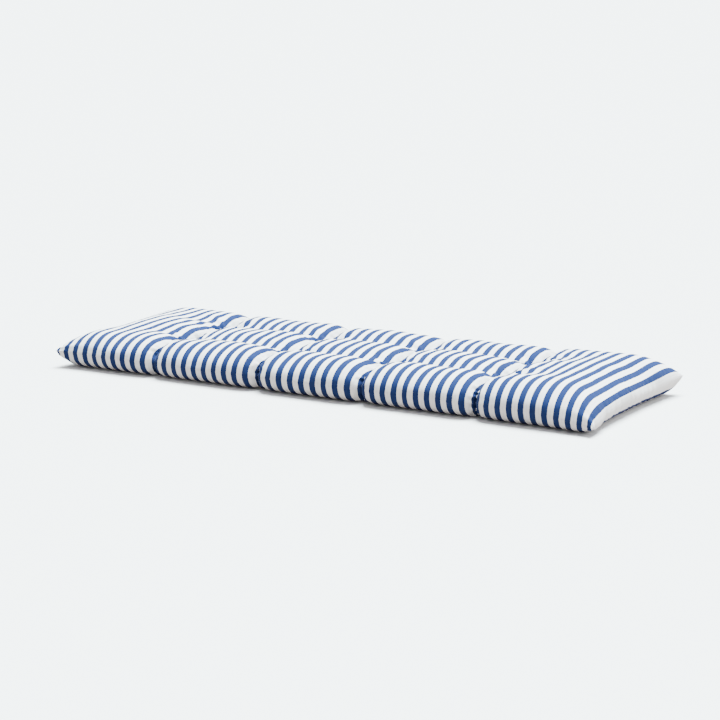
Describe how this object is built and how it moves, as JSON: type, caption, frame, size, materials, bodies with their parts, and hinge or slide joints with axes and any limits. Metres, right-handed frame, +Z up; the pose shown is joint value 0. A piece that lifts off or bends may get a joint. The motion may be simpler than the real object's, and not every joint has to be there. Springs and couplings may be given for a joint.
{
  "type": "bench cushion",
  "caption": "Long tufted bench cushion with a filled, crowned body, pinched edges, pointed corners and blue and white stripes across its depth.",
  "frame": {"origin": "middle of the underside, on the surface that the cushion lies on", "axes": "+X along the length, +Y from the front edge to the rear edge, +Z up"},
  "size_m": [1.26, 0.44, 0.0858],
  "materials": {
    "striped_cloth": "woven, matt, blue and off-white stripes"
  },
  "bodies": {
    "root": {"cushion": "striped_cloth"}
  },
  "joints": []
}
